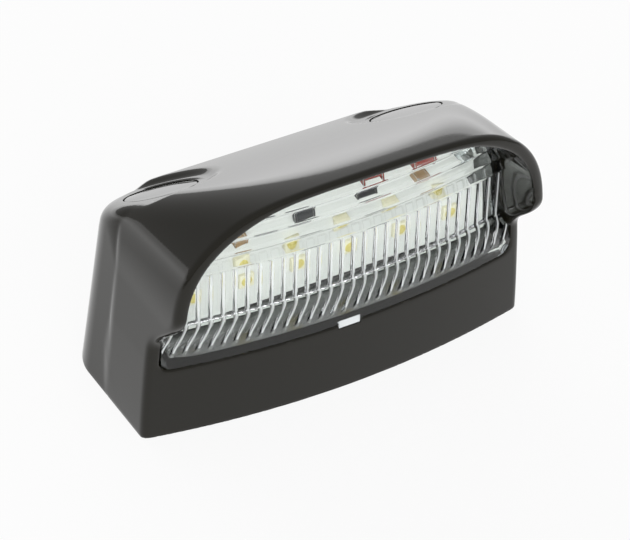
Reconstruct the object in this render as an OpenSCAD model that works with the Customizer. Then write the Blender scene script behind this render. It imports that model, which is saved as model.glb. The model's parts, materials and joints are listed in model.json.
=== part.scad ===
// Number plate lamp: a hooded black housing over a clear fluted lens,
// with a light board behind the lens and two capped screw wells.
// Inside the pieces, y = 0 is the line between the two front corners of the
// base and +Y runs to the back; seated() then moves everything so that the
// origin lies midway between the two screw holes, on the base plane.

/* [Housing body] */
// Length of the base, end to end
body_l = 90; // [86:1:96]
// How far the middle of the front stands ahead of its corners
bow = 5; // [4:0.5:6]
// Distance from the front corners to the back of the base
body_d = 35.8; // [35:0.2:38]
// Radius of the two rear corners in plan
corner_r = 12; // [11:0.5:13]
// Wall thickness of the housing
wall = 2.6; // [2.2:0.1:3]
// How far each end wall leans in by the height of the arch springing
end_draft = 2; // [1:0.25:3]

/* [Hood] */
// Height at which the arch of the hood springs from the end walls
spring_z = 32; // [31:0.5:34]
// Height of the hood at its front edge
hood_z = 63.4; // [62:0.2:65]
// Slope of the top, down toward the back, in degrees
top_slope = 28.5; // [27:0.5:29]
// How far the hood's front edge stands ahead of the apron
hood_out = 8.8; // [7:0.2:10]
// Height at which the end walls start to sweep forward
sweep_z = 23; // [22:0.5:24]
// Height over which they sweep forward
sweep_h = 13.5; // [12:0.5:15]
// Squareness of the arch at the front, where 2 is an ellipse
arch_n = 2.5; // [2.3:0.1:2.8]
// Rounding of the top's back edge
rear_round = 1.6; // [1:0.2:2]
// Thickness of the hood's lip round the window
lip = 2.3; // [2:0.1:2.5]

/* [Window] */
// Height of the apron below the lens
sill_z = 17; // [16:0.5:18]
// Radius of the window's two lower corners
sill_r = 3; // [2:0.5:4]
// Width of the tongue notch in the middle of the sill
notch_w = 5.2; // [4:0.2:6]
// Depth of that notch
notch_d = 1; // [0.6:0.1:1.4]

/* [Screw wells] */
// Distance between the two screw holes
screw_pitch = 57.6; // [56:0.2:59]
// Distance of the screw holes from the front corners
well_y = 22.4; // [22:0.2:23]
// Radius of the screw holes
screw_r = 2.4; // [2:0.1:2.8]
// Radius of the wells above the screw heads
well_r = 5.2; // [4.6:0.1:5.6]
// Thickness of the floor that the screw heads clamp
well_floor = 4; // [3:0.5:5]
// Wall thickness round the wells
well_wall = 1.8; // [1.4:0.1:2]
// Height of the flat round each cap, above the screw hole
ledge_z = 42.3; // [41.8:0.1:43]
// Radius of the flat round each cap
ledge_r = 12.4; // [12:0.1:12.6]
// Slope of those flats, in degrees
flat_slope = 31.5; // [31:0.5:33]
// Distance ahead of the screw holes at which the flats run out into the top
flat_run = 12.4; // [11.5:0.1:13]

/* [Caps] */
// Radius of the two screw caps
cap_r = 7.7; // [7.4:0.1:8]
// Thickness of a cap's disc
cap_t = 1.4; // [1.2:0.1:1.8]
// Depth of a cap's skirt below its disc
cap_skirt = 2.2; // [1.6:0.2:3]
// Wall thickness of that skirt
skirt_t = 1; // [0.8:0.1:1.2]

/* [Lens] */
// Wall thickness of the lens
lens_t = 1.6; // [1.4:0.1:2]
// Height of the plain band at the foot of the lens
band_h = 3.2; // [2.6:0.2:3.6]
// Radius of the rounded shoulder above the band
shoulder_r = 4; // [3.6:0.2:4.4]
// Height of the fluted wall above the shoulder
flute_h = 11.8; // [10:0.2:13]
// Number of flutes across the lens
flute_count = 30; // [26:1:30]
// Radius of a flute
flute_r = 0.6; // [0.55:0.05:0.8]
// How far a flute stands out of the wall
flute_out = 0.5; // [0.4:0.05:0.55]
// Lean of the lens above the flutes, back from upright, in degrees
crown_lean = 8; // [4:1:10]
// Number of ridges along the leaning part
ridge_count = 4; // [3:1:4]
// Height of one ridge's step
ridge_h = 3.1; // [2.6:0.1:3.2]
// How far a ridge stands out
ridge_out = 0.7; // [0.4:0.1:1]
// Radius of the two locating pegs behind the lens
peg_r = 2.2; // [1.8:0.1:2.6]
// Distance between the pegs
peg_pitch = 62; // [56:1:64]
// Height of the pegs above the base
peg_z = 43; // [41:0.5:44]

/* [Light board] */
// Thickness of the board
board_t = 1.6; // [1:0.2:2]
// Distance of the board's front from the front corners
board_y = 7.6; // [7.4:0.1:8]
// Number of light chips
led_count = 6; // [4:1:6]
// Distance between light chips
led_pitch = 12; // [10.5:0.5:13]
// Height of the row of light chips
led_z = 27; // [25:0.5:29]
// Side of a light chip
led_w = 3.4; // [2.8:0.1:3.6]
// Thickness of a light chip
led_t = 1; // [0.8:0.1:1.3]
// Height of the upper row of components
row_z = 41; // [40:0.5:43]
// Height of the lower row of components
low_z = 34.5; // [33:0.5:35.5]
// Length of a chip resistor
res_l = 5; // [4:0.1:5.2]
// Width of a chip resistor
res_w = 2.5; // [2:0.1:2.6]
// Thickness of a chip resistor
res_t = 0.7; // [0.5:0.1:0.9]
// Length of a glass diode
diode_l = 5; // [4.6:0.1:5.4]
// Diameter of a glass diode
diode_d = 2.4; // [2.2:0.1:2.6]
// Length of a chip capacitor
capac_l = 3.2; // [2.8:0.1:3.6]

/* [Base] */
// Thickness of the base plate
plate_t = 2; // [1.6:0.1:2.4]
// Thickness of the seal above the plate
seal_t = 0.8; // [0.6:0.1:1]
// Width of the shoulder that the seal lies on
shoulder_w = 1.2; // [1:0.1:1.4]
// Radius of the hole for the cable
cable_r = 2.6; // [2.2:0.1:3]
// Wall thickness of the rubber grommet in that hole
grommet_t = 1.4; // [1.2:0.1:1.8]
// Distance of the cable hole from the front corners
cable_y = 18; // [16:0.5:20]

/* [Fits] */
// Gap between pieces that drop into each other
gap = 0.15; // [0.1:0.05:0.25]

/* [Hidden] */

half = body_l / 2;
// The front is one arc through both corners and the middle of the bow.
bow_r = (half * half + bow * bow) / (2 * bow);
bow_cy = bow_r - bow;
corner_x = half - corner_r;
corner_y = body_d - corner_r;
well_x = screw_pitch / 2;
spring_x = half - end_draft;
far = 200;
high = 2 * hood_z;
thin = 0.02;
over = 1;
arch_steps = 48;
bow_fn = 480;

// Height of the top's plane at a distance y from the front corners.
// It is the plane that each flat meets at flat_run ahead of its screw hole.
run_y = well_y - flat_run;
run_z = ledge_z + flat_run * tan(flat_slope);
function top_z(y) = run_z - (y - run_y) * tan(top_slope);

// The hood's front slice stands just ahead of its lip; the next one is lower
// and a little narrower, at the screw holes, and the last one is the back.
front_y = -bow - hood_out - over;
arch_b = hood_z - spring_z;
lean = 0.8;
mid_in = 1.2;
mid_fall = 5.5;
mid_spring = 1;
rear_y = body_d - 1.3;
rear_half = (top_z(rear_y) + over) / 2;
rear_x = corner_x - 6;
rear_n = 8;

// The rounded upper edge of the corner columns, as distances in and down.
column_edge = [[0, 3.6], [1.1, 1.1], [3.6, 0]];
ledge_gap = 0.4;

// A level disc in the sloping flat is this much longer down the slope.
level = 1 / cos(flat_slope);

// The seat of a cap, and the space behind the lens.
seat_depth = cap_t + cap_skirt;
cup_back = board_y + board_t + 1;
stop_t = 2;
stop_w = 2;

// The lens's face lies a little behind the apron's.
face_y = gap;
band_top = sill_z + band_h;
flute_z = band_top + shoulder_r;
crown_z = flute_z + flute_h;
flute_pitch = 2.7;
flute_turn = flute_pitch / bow_r * 180 / PI;
ridge_rise = 0.3;
crown_out = 0.15;

// The pegs start inside the lens's wall and end in pins through the board.
pin_r = peg_r * 0.6;
pin_out = 0.8;
peg_root = bow_cy - sqrt(bow_r * bow_r - peg_pitch * peg_pitch / 4)
    + crown_y(peg_z) + lens_t / 2;

// Where the components stand on the board, as distances along it and heights.
resistor_at = [[-14.3, row_z], [-6.7, row_z], [-3.5, low_z], [11.5, low_z]];
diode_at = [[10.9, row_z], [22.9, row_z]];
capacitor_at = [[-19, low_z], [24, low_z]];
proud = 0.06;
res_end = 0.6;
diode_end = 0.55;
capac_end = 0.5;
glass_part = 0.88;
pool_part = 0.36;

// The grommet and the ring of the plate that it grips.
neck_r = cable_r + grommet_t;
flange_t = 0.8;
ring_h = plate_t + 1.2;

// An arch with its two feet, as points in X and Z.
function arch(a, b, z0, n) = [
    for (i = [0:arch_steps])
        let (t = 180 * i / arch_steps)
        [a * sign(cos(t)) * pow(abs(cos(t)), 2 / n), z0 + b * pow(abs(sin(t)), 2 / n)]
];

// Where the end walls stand ahead of the apron at the height z.
function sweep(z) =
    z < sweep_z ? 0 :
    z > sweep_z + sweep_h ? hood_out :
    hood_out * (1 - cos(180 * (z - sweep_z) / sweep_h)) / 2;

// Moves a piece from the front corners' line to the screw holes' line.
module seated() {
    translate([0, -well_y, 0]) children();
}

// A thin upright slice at y, of a closed outline in X and Z.
module slice(y, points) {
    translate([0, y, 0]) rotate([90, 0, 0]) linear_extrude(thin) polygon(points);
}

// The plan of the base, inset by i, with its front moved out by f.
module plan(i = 0, f = 0) {
    intersection() {
        union() {
            translate([-half + i, -far]) square([body_l - 2 * i, far + corner_y]);
            translate([-corner_x, 0]) square([2 * corner_x, body_d - i]);
            for (s = [-1, 1])
                translate([s * corner_x, corner_y]) circle(r = corner_r - i, $fn = 96);
        }
        translate([0, bow_cy]) circle(r = bow_r - i + f, $fn = bow_fn);
    }
}

// The hood's form, inset by i: an arch swept back over the base, under the top.
module hood_form(i = 0) {
    intersection() {
        hull() {
            linear_extrude(thin) plan(i, over);
            linear_extrude(sweep_z) intersection() {
                plan(i + lean, over);
                translate([-far, -far]) square([2 * far, far + over]);
            }
            slice(front_y, arch(spring_x - i, arch_b - i, spring_z, arch_n));
            slice(
                well_y,
                arch(spring_x - mid_in - i, arch_b - mid_fall - i, spring_z - mid_spring, arch_n)
            );
            for (e = [[rear_round, 0], [0, rear_round]])
                slice(rear_y - i - e[0], arch(rear_x - i, rear_half - i - e[1], rear_half, rear_n));
        }
        translate([0, run_y, run_z])
            rotate([-top_slope, 0, 0])
                translate([-far, -far, -far - i]) cube([2 * far, 2 * far, far]);
    }
}

// The rear body with its two corner columns, inset by i, up to the flats.
module column_form(i = 0) {
    hull() {
        linear_extrude(thin) plan(i);
        for (s = [-1, 1])
            for (e = column_edge)
                on_ledge(s)
                    translate([0, 0, -i * level - e[1] - thin])
                        scale([1, level, 1])
                            cylinder(r = ledge_r - i - e[0], h = thin, $fn = 72);
    }
}

// Everything behind the swept front face, d further back than that face.
module behind_front(d = 0) {
    steps = 24;
    swept = [
        for (k = [0:steps])
            let (z = sweep_z + sweep_h * k / steps)
            [bow_r - d + sweep(z), z]
    ];
    foot = [[0, -over], [bow_r - d, -over]];
    head = [[bow_r - d + hood_out, high], [0, high]];
    revolved(concat(foot, swept, head));
}

// Turns an outline in distance and height about the axis of the front's arc.
module revolved(points) {
    translate([0, bow_cy, 0]) rotate_extrude($fn = bow_fn) polygon(points);
}

// Everything above the height z, inside a round-cornered foot.
module above(z, y0, y1, c = 0) {
    side = half - lip - c;
    translate([0, y1, 0])
        rotate([90, 0, 0])
            linear_extrude(y1 - y0)
                union() {
                    translate([-side, z + sill_r]) square([2 * side, high]);
                    translate([-side + sill_r, z]) square([2 * (side - sill_r), 2 * sill_r]);
                    for (s = [-1, 1])
                        translate([s * (side - sill_r), z + sill_r]) circle(r = sill_r, $fn = 48);
                }
}

// The way that the lens goes in by, inset by c, from y0 back to y1.
module tunnel(y0, y1, c = 0) {
    intersection() {
        hood_form(lip + c);
        above(sill_z + c, y0, y1, c);
    }
}

// Draws upright what lies in the flat round a cap.
module on_ledge(s) {
    translate([s * well_x, well_y, ledge_z]) rotate([-flat_slope, 0, 0]) children();
}

// The outside of the tubes round the two wells.
module well_tubes(grow = 0, z0 = 0) {
    for (s = [-1, 1])
        translate([s * well_x, well_y, z0])
            cylinder(r = well_r + well_wall + grow, h = ledge_z, $fn = 72);
}

// The hollow behind the lens and above the base plate.
module cavity() {
    difference() {
        intersection() {
            union() {
                hood_form(wall);
                column_form(wall);
            }
            behind_front(wall);
        }
        well_tubes(0, -over);
        for (s = [-1, 1])
            on_ledge(s)
                translate([0, 0, -seat_depth - well_wall])
                    cylinder(r = cap_r + gap + well_wall, h = far, $fn = 96);
        // The front stays solid above the shelf, where the lens has its own way in.
        translate([-far, -far, sill_z - wall]) cube([2 * far, far + cup_back, far]);
        // The frame that the back of the lens stops against.
        difference() {
            translate([-far, cup_back, sill_z - wall]) cube([2 * far, stop_t, far]);
            intersection() {
                hood_form(lip + stop_w);
                translate([-far, -far, sill_z + lens_t]) cube([2 * far, 2 * far, far]);
            }
        }
    }
}

// One moulding: hood, end walls, apron, corner columns and screw wells.
module housing() {
    color([0.13, 0.13, 0.125])
    seated()
    difference() {
        intersection() {
            union() {
                hood_form();
                column_form();
            }
            behind_front();
        }
        // The flats round the caps, cut into the land between them.
        for (s = [-1, 1])
            intersection() {
                translate([s * well_x, well_y, 0])
                    cylinder(r = ledge_r + ledge_gap, h = far, $fn = 96);
                on_ledge(s)
                    translate([-far, -far, 0]) cube([2 * far, 2 * far, far]);
            }
        for (s = [-1, 1])
            on_ledge(s)
                translate([0, 0, -seat_depth]) cylinder(r = cap_r + gap, h = far, $fn = 96);
        for (s = [-1, 1])
            translate([s * well_x, well_y, 0]) {
                translate([0, 0, well_floor]) cylinder(r = well_r, h = ledge_z, $fn = 72);
                translate([0, 0, -over]) cylinder(r = screw_r, h = far, $fn = 48);
            }
        tunnel(-far, cup_back);
        translate([-notch_w / 2, -far, sill_z - notch_d]) cube([notch_w, far, 2 * notch_d]);
        cavity();
        // The rebate that the base plate and its seal drop into.
        difference() {
            translate([0, 0, -over])
                linear_extrude(over + plate_t + seal_t) plan(wall - shoulder_w);
            well_tubes(0, -2 * over);
        }
    }
}

// The front face of the lens, t further back, as distance back and height.
function shoulder_points(t) = [
    for (a = [0:15:90])
        [
            face_y + shoulder_r - (shoulder_r - t) * cos(a),
            band_top + (shoulder_r - t) * sin(a)
        ]
];
function crown_y(z) = face_y + shoulder_r - flute_out - crown_out + (z - crown_z) * tan(crown_lean);
function crown_points() = concat([[face_y + shoulder_r, crown_z]], [
    for (k = [0:ridge_count - 1])
        for (p = [[0, 0], [ridge_out, ridge_rise]])
            let (z = crown_z + (k + p[1]) * ridge_h)
            [crown_y(z) - p[0], z]
]);

// Everything behind the lens's front face: outside it has its ridges.
module behind_lens() {
    foot = [[face_y, sill_z - over]];
    head = [[crown_y(high), high]];
    face = concat(foot, shoulder_points(0), crown_points(), head);
    revolved(concat([[0, high], [0, sill_z - over]], [for (p = face) [bow_r - p[0], p[1]]]));
}

// Everything behind the lens's inner face.
module inside_lens() {
    t = lens_t;
    foot = [[face_y + t, sill_z - over]];
    wall_y = face_y + shoulder_r + t;
    head = [[wall_y, flute_z - t], [wall_y, crown_z - t], [crown_y(high) + t, high]];
    face = concat(foot, shoulder_points(t), head);
    revolved(concat([[0, high], [0, sill_z - over]], [for (p = face) [bow_r - p[0], p[1]]]));
}

// The flutes: upright ribs along the wall above the shoulder.
module flutes() {
    rib_y = -bow_r + face_y + shoulder_r + flute_r - flute_out;
    translate([0, bow_cy, flute_z])
        linear_extrude(flute_h + ridge_h / 2)
            for (k = [0:flute_count - 1])
                rotate((k - (flute_count - 1) / 2) * flute_turn)
                    translate([0, rib_y]) circle(r = flute_r, $fn = 24);
}

// One clear moulding: fluted front, ridged crown, skirt, tongue and pegs.
module lens() {
    color([0.86, 0.88, 0.9, 0.5])
    seated() {
        difference() {
            union() {
                intersection() {
                    behind_lens();
                    tunnel(-far, cup_back - gap, gap);
                }
                intersection() {
                    flutes();
                    tunnel(-far, cup_back - gap, gap);
                }
                // The tongue in the notch of the sill.
                translate([-notch_w / 2 + gap, -bow + face_y, sill_z - notch_d + gap])
                    cube([notch_w - 2 * gap, lens_t, 2 * notch_d]);
            }
            intersection() {
                inside_lens();
                tunnel(-far, cup_back + over, gap + lens_t);
            }
        }
        // The two pegs that locate the board.
        for (s = [-1, 1])
            translate([s * peg_pitch / 2, 0, peg_z])
                rotate([-90, 0, 0]) {
                    translate([0, 0, peg_root]) cylinder(r = peg_r, h = board_y - peg_root, $fn = 48);
                    translate([0, 0, peg_root])
                        cylinder(r = pin_r, h = board_y + board_t + pin_out - peg_root, $fn = 48);
                }
    }
}

// A plug: a flat disc with a skirt under it, in the seat above a well.
module screw_cap(s) {
    color([0.16, 0.16, 0.155])
    seated()
    on_ledge(s)
        translate([0, 0, -cap_t])
            difference() {
                translate([0, 0, -cap_skirt]) cylinder(r = cap_r, h = seat_depth, $fn = 96);
                translate([0, 0, -cap_skirt - over])
                    cylinder(r = cap_r - skirt_t, h = cap_skirt + over, $fn = 96);
            }
}
module screw_cap_left() { screw_cap(-1); }
module screw_cap_right() { screw_cap(1); }

// The plate that closes the base, with a thicker ring round the cable hole.
module base_plate() {
    color([0.15, 0.15, 0.15])
    seated()
    difference() {
        union() {
            linear_extrude(plate_t) plan(wall - shoulder_w + gap);
            translate([0, cable_y, 0]) cylinder(r = neck_r + 2 * grommet_t, h = ring_h, $fn = 72);
        }
        well_tubes(gap, -over);
        translate([0, cable_y, -over]) {
            cylinder(r = neck_r, h = far, $fn = 72);
            cylinder(r = neck_r + grommet_t, h = over + flange_t, $fn = 72);
        }
    }
}

// The seal that lies on the shoulder above the base plate.
module base_seal() {
    color([0.3, 0.3, 0.3])
    seated()
    translate([0, 0, plate_t])
        linear_extrude(seal_t)
            difference() {
                plan(wall - shoulder_w + gap);
                plan(wall + gap);
            }
}

// A rubber grommet, flanged above and below the plate.
module cable_grommet() {
    color([0.08, 0.08, 0.08])
    seated()
    translate([0, cable_y, 0])
        difference() {
            union() {
                cylinder(r = neck_r, h = ring_h + flange_t, $fn = 72);
                cylinder(r = neck_r + grommet_t - gap, h = flange_t, $fn = 72);
                translate([0, 0, ring_h])
                    cylinder(r = neck_r + grommet_t, h = flange_t, $fn = 72);
            }
            translate([0, 0, -over]) cylinder(r = cable_r, h = far, $fn = 72);
        }
}

// The white board inside the lens's skirt, with two holes for its pegs.
module circuit_board() {
    color([0.93, 0.93, 0.9])
    seated()
    difference() {
        tunnel(board_y, board_y + board_t, lens_t + 3 * gap);
        for (s = [-1, 1])
            translate([s * peg_pitch / 2, 0, peg_z])
                rotate([-90, 0, 0]) cylinder(r = pin_r + gap, h = far, $fn = 48);
    }
}

// Places a component of thickness t on the front of the board.
module on_board(x, z, t) {
    seated() translate([x, board_y - t, z]) children();
}

// A light chip: a square white body with a round pool of phosphor.
module led(n) {
    color([0.95, 0.93, 0.75])
    on_board((n - (led_count + 1) / 2) * led_pitch, led_z, led_t)
        difference() {
            translate([-led_w / 2, 0, -led_w / 2]) cube([led_w, led_t, led_w]);
            translate([0, -over, 0])
                rotate([-90, 0, 0]) cylinder(r = led_w * pool_part, h = over + led_t / 4, $fn = 48);
        }
}
module led_1() { led(1); }
module led_2() { led(2); }
module led_3() { led(3); }
module led_4() { led(4); }
module led_5() { led(5); }
module led_6() { led(6); }

// A chip with a body and two end terminals that stand a little proud of it.
module chip(l, w, t, end) {
    translate([-l / 2 + end / 2, proud, -w / 2]) cube([l - end, t - proud, w]);
    for (s = [-1, 1])
        translate([s * (l - end) / 2 - end / 2, 0, -w / 2 - proud])
            cube([end, t, w + 2 * proud]);
}

// The k-th chip resistor.
module resistor(k) {
    color([0.12, 0.12, 0.12])
    on_board(resistor_at[k][0], resistor_at[k][1], res_t) chip(res_l, res_w, res_t, res_end);
}
module resistor_1() { resistor(0); }
module resistor_2() { resistor(1); }
module resistor_3() { resistor(2); }
module resistor_4() { resistor(3); }

// The k-th glass diode: a round body between two square metal ends.
module diode(k) {
    color([0.6, 0.2, 0.12])
    on_board(diode_at[k][0], diode_at[k][1], diode_d) {
        translate([-diode_l / 2, diode_d / 2, 0])
            rotate([0, 90, 0]) cylinder(d = diode_d * glass_part, h = diode_l, $fn = 48);
        for (s = [-1, 1])
            translate([s * (diode_l - diode_end) / 2 - diode_end / 2, 0, -diode_d / 2])
                cube([diode_end, diode_d, diode_d]);
    }
}
module diode_1() { diode(0); }
module diode_2() { diode(1); }

// The k-th chip capacitor.
module capacitor(k) {
    color([0.72, 0.6, 0.4])
    on_board(capacitor_at[k][0], capacitor_at[k][1], capac_l / 2)
        chip(capac_l, capac_l / 2, capac_l / 2, capac_end);
}
module capacitor_1() { capacitor(0); }
module capacitor_2() { capacitor(1); }

housing();
lens();
screw_cap_left();
screw_cap_right();
base_plate();
base_seal();
cable_grommet();
circuit_board();
led_1();
led_2();
led_3();
led_4();
led_5();
led_6();
resistor_1();
resistor_2();
resistor_3();
resistor_4();
diode_1();
diode_2();
capacitor_1();
capacitor_2();
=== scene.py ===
"""Number plate lamp: a glossy black hooded housing over a clear fluted lens and its light board."""

import json
import logging
import math
from collections.abc import Callable, Iterable
from dataclasses import dataclass, field
from enum import Enum

import bmesh
import bpy
import numpy as np
from mathutils import Matrix, Vector

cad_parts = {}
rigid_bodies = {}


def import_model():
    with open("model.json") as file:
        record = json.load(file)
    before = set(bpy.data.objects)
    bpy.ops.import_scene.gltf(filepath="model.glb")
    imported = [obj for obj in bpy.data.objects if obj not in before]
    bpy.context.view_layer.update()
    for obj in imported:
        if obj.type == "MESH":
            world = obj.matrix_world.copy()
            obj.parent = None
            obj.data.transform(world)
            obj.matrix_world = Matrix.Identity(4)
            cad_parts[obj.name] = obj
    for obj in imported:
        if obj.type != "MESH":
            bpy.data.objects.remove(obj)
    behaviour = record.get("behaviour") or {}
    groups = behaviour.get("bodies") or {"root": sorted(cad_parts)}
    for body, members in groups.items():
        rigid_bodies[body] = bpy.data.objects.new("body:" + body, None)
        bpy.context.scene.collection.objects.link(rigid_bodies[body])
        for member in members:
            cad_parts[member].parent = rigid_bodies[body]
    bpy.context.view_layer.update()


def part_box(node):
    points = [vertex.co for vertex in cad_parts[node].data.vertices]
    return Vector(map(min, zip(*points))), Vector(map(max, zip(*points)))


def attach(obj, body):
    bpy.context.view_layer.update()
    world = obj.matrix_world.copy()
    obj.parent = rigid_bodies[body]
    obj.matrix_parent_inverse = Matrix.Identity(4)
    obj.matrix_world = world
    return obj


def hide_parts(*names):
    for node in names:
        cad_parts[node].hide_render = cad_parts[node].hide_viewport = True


log = logging.getLogger("number_plate_lamp")

MM = 0.001
"""One millimetre in metres."""

WELL_Y = 22.4
"""Distance in mm from the front corners' line, which the drawings use, to the row's origin."""


class Finish(Enum):
    """The record's material slots by name."""

    HOUSING = "housing"
    LENS = "lens"
    CAP = "cap"
    BOARD = "board"


def srgb(code: str) -> tuple[float, float, float, float]:
    """Turn an sRGB hex colour to linear light.

    Args:
        code: six hex digits, red first.

    Returns:
        The linear colour, with 1 as its fourth value.
    """
    parts = [int(code[i : i + 2], 16) / 255 for i in (0, 2, 4)]
    linear = [c / 12.92 if c <= 0.04045 else ((c + 0.055) / 1.055) ** 2.4 for c in parts]
    return linear[0], linear[1], linear[2], 1.0


def to_metres(points: np.ndarray) -> np.ndarray:
    """Turn points of the drawings, in mm from the front corners' line, to the row's metres."""
    return (points - np.array([0.0, WELL_Y, 0.0])) * MM


def to_drawing(points: np.ndarray) -> np.ndarray:
    """Turn points in the row's metres to the drawings' mm."""
    return points / MM + np.array([0.0, WELL_Y, 0.0])


# Materials


def node(
    tree: bpy.types.NodeTree, kind: str, settings: dict[str, object] | None = None, **links: object
) -> bpy.types.Node:
    """Add a shader node with its settings and links.

    Args:
        tree: the node tree.
        kind: the node's type name.
        settings: attributes of the node itself.
        links: for each input's name, with spaces as underscores, a socket to link or a value. A name
            such as in_0 is an input's number.

    Returns:
        The new node.
    """
    made = tree.nodes.new(kind)
    for name, value in (settings or {}).items():
        setattr(made, name, value)
    for name, value in links.items():
        socket = made.inputs[int(name[3:])] if name.startswith("in_") else made.inputs[name.replace("_", " ")]
        if isinstance(value, bpy.types.NodeSocket):
            tree.links.new(value, socket)
        else:
            socket.default_value = value
    return made


def math_node(
    tree: bpy.types.NodeTree, operation: str, first: bpy.types.NodeSocket, second: object
) -> bpy.types.NodeSocket:
    """Add a node that works one sum on two values, and give its result."""
    made = node(tree, "ShaderNodeMath", {"operation": operation}, in_0=first, in_1=second)
    return made.outputs["Value"]


def scaled(
    tree: bpy.types.NodeTree,
    value: bpy.types.NodeSocket,
    span: tuple[float, float],
    onto: tuple[float, float],
    kind: str = "LINEAR",
) -> bpy.types.NodeSocket:
    """Add a node that maps one span of values onto another.

    Args:
        tree: the node tree.
        value: what is mapped. Past the span's ends the result stays what it is there.
        span: the value's two ends.
        onto: the result at each of them.
        kind: the name of the way from one to the other.

    Returns:
        The result.
    """
    made = node(
        tree,
        "ShaderNodeMapRange",
        {"interpolation_type": kind},
        Value=value,
        From_Min=span[0],
        From_Max=span[1],
        To_Min=onto[0],
        To_Max=onto[1],
    )
    return made.outputs["Result"]


def grained(
    tree: bpy.types.NodeTree, grain_mm: float, smooth: float, rough: float
) -> tuple[bpy.types.NodeSocket, bpy.types.NodeSocket]:
    """Add a fine grain over the object, and the roughness that follows it.

    Args:
        tree: the node tree.
        grain_mm: the size of its spots in mm.
        smooth: the roughness of the clearest spots.
        rough: the roughness of the dullest ones.

    Returns:
        The grain, and the roughness.
    """
    place = node(tree, "ShaderNodeTexCoord").outputs["Object"]
    grain = node(tree, "ShaderNodeTexNoise", Vector=place, Scale=1 / (grain_mm * MM), Detail=2.0)
    # Most of a noise's values lie between 0.3 and 0.7.
    return grain.outputs["Fac"], scaled(tree, grain.outputs["Fac"], (0.3, 0.7), (smooth, rough))


def new_material(name: str) -> tuple[bpy.types.Material, bpy.types.NodeTree, bpy.types.Node]:
    """Make an empty node material.

    Args:
        name: the material's name.

    Returns:
        The material, its tree and its output node.
    """
    material = bpy.data.materials.new(name)
    material.use_nodes = True
    tree = material.node_tree
    tree.nodes.clear()
    return material, tree, tree.nodes.new("ShaderNodeOutputMaterial")


@dataclass(frozen=True)
class MouldedPlastic:
    """A moulded plastic with a faint unevenness of its polish.

    A polished mould gives glossy ABS a nearly mirror-like skin, with slow waves where the wall behind
    shrank, and a little dust and handling that make some spots less clear than others.
    """

    name: str
    colour: str
    roughness: float = 0.12
    uneven: float = 0.05
    wave_mm: float = 9.0
    wave_depth_mm: float = 0.004
    grain_mm: float = 0.6
    grain_depth_mm: float = 0.001
    ior: float = 1.53

    def build(self) -> bpy.types.Material:
        """Make the material."""
        material, tree, output = new_material(self.name)
        place = node(tree, "ShaderNodeTexCoord").outputs["Object"]
        wave = node(tree, "ShaderNodeTexNoise", Vector=place, Scale=1 / (self.wave_mm * MM), Detail=1.0)
        grain, gloss = grained(tree, self.grain_mm, self.roughness, self.roughness + self.uneven)
        soft = node(
            tree,
            "ShaderNodeBump",
            Height=wave.outputs["Fac"],
            Distance=self.wave_depth_mm * MM,
            Strength=1.0,
        )
        fine = node(
            tree,
            "ShaderNodeBump",
            Height=grain,
            Distance=self.grain_depth_mm * MM,
            Strength=1.0,
            Normal=soft.outputs["Normal"],
        )
        shader = node(
            tree,
            "ShaderNodeBsdfPrincipled",
            Base_Color=srgb(self.colour),
            Roughness=gloss,
            IOR=self.ior,
            Normal=fine.outputs["Normal"],
        )
        tree.links.new(shader.outputs["BSDF"], output.inputs["Surface"])
        return material


@dataclass(frozen=True)
class ClearPlastic:
    """Clear moulded acrylic, polished on both faces, with a faint cold tint in its depth."""

    name: str
    colour: str = "F6F9FA"
    shade: str = "EDF1F2"
    roughness: float = 0.01
    ior: float = 1.49
    # Below 1, the rest shows the pale base colour, which the crests use as a painted highlight.
    clearness: float = 1.0

    def build(self) -> bpy.types.Material:
        """Make the material: glass to the eye, and clear to the light that falls through it."""
        material, tree, output = new_material(self.name)
        glass = node(
            tree,
            "ShaderNodeBsdfPrincipled",
            Base_Color=srgb(self.colour),
            Roughness=self.roughness,
            IOR=self.ior,
            Transmission_Weight=self.clearness,
        )
        clear = node(tree, "ShaderNodeBsdfTransparent", Color=srgb(self.shade))
        path = node(tree, "ShaderNodeLightPath")
        mix = node(
            tree,
            "ShaderNodeMixShader",
            in_0=path.outputs["Is Shadow Ray"],
            in_1=glass.outputs["BSDF"],
            in_2=clear.outputs["BSDF"],
        )
        tree.links.new(mix.outputs["Shader"], output.inputs["Surface"])
        return material


@dataclass(frozen=True)
class PlatedMetal:
    """Tin plating, satin with a slight grain from the bath, which gives small soft highlights."""

    name: str
    colour: str = "C9C8C2"
    roughness: float = 0.28
    polish: float = 0.06
    wear: float = 0.1
    grain_mm: float = 0.25

    def build(self) -> bpy.types.Material:
        """Make the material."""
        material, tree, output = new_material(self.name)
        gloss = grained(tree, self.grain_mm, self.roughness - self.polish, self.roughness + self.wear)[1]
        shader = node(
            tree,
            "ShaderNodeBsdfPrincipled",
            Base_Color=srgb(self.colour),
            Metallic=1.0,
            Roughness=gloss,
        )
        tree.links.new(shader.outputs["BSDF"], output.inputs["Surface"])
        return material


# ABS from a polished mould: deep black face on, and close to a mirror at a flat angle.
GLOSS_BLACK = MouldedPlastic("polished_black_abs", "15130B", roughness=0.05, uneven=0.04, ior=1.4)
# The same plastic from the caps' own mould: a shade more reflective, so each cap stands out in its flat.
CAP_BLACK = MouldedPlastic("polished_black_cap_abs", "151410", roughness=0.05, uneven=0.03, ior=1.5)
# Polypropylene from an eroded mould: a dull black that hides scuffs.
PLATE_BLACK = MouldedPlastic("matte_black_polypropylene", "1B1B1A", roughness=0.5, grain_depth_mm=0.01)
# Moulded rubber: the flattest black of all, with hardly a highlight.
RUBBER = MouldedPlastic("moulded_black_rubber", "141414", roughness=0.7, grain_depth_mm=0.02)
# Cured solder mask over glass fibre: off-white with a soft sheen.
WHITE_MASK = MouldedPlastic("white_solder_mask", "E9E8E0", roughness=0.35)
# The moulded body of a light chip: cream, faintly glossy.
LED_BODY = MouldedPlastic("white_led_body", "F0E9C8", roughness=0.3)
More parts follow.
